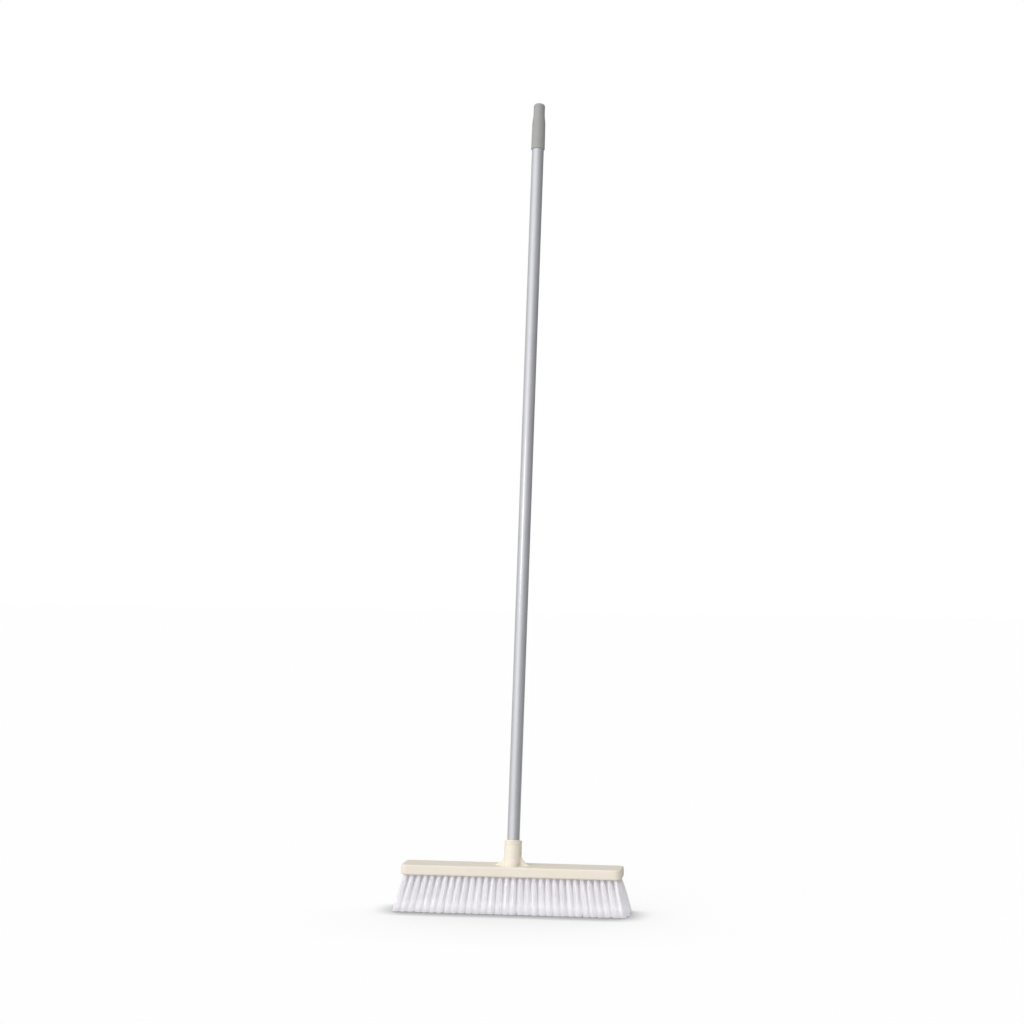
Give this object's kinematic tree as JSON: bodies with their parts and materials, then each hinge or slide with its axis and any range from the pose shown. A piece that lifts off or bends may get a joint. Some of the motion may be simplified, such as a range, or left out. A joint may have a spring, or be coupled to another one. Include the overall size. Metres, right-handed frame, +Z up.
{
  "type": "push broom",
  "caption": "Floor push broom: long moulded block with flared tufts trimmed flat, an upright screw socket and a straight metal tube handle that leans back, with a plastic grip.",
  "frame": {"origin": "on the floor, under the middle of the head", "axes": "+X along the head, +Y to the rear, the way the handle leans, +Z up"},
  "size_m": [0.4164, 0.3417, 1.4643],
  "materials": {
    "block_plastic": "moulded cream polypropylene, satin",
    "bristle_filament": "white polyester filament, crimped and trimmed",
    "anchor_wire": "galvanised flat wire",
    "tube_metal": "drawn and satin anodised",
    "tip_plastic": "moulded grey nylon",
    "grip_plastic": "moulded grey polypropylene, fine matt texture"
  },
  "bodies": {
    "head": {"head_block": "block_plastic", "bristles_front": "bristle_filament", "bristles_front_inner": "bristle_filament", "bristles_middle": "bristle_filament", "bristles_rear_inner": "bristle_filament", "bristles_rear": "bristle_filament", "anchors_front": "anchor_wire", "anchors_front_inner": "anchor_wire", "anchors_middle": "anchor_wire", "anchors_rear_inner": "anchor_wire", "anchors_rear": "anchor_wire"},
    "grip": {"grip": "grip_plastic"},
    "handle": {"handle_tube": "tube_metal", "thread_tip": "tip_plastic"}
  },
  "joints": [
    {"name": "handle_lift", "type": "slide", "parent": "head", "child": "grip", "axis": [0, 0.1994, 0.9799], "range_m": [0, 0.025]},
    {"name": "handle_turn", "type": "hinge", "parent": "grip", "child": "handle", "pos_m": [0, 0, 0.0805], "axis": [0, 0.1994, 0.9799], "range_deg": [0, 1801]}
  ],
  "couplings": [
    {"joint": "handle_turn", "follows": "handle_lift", "rad_per_m": 1256.6}
  ]
}
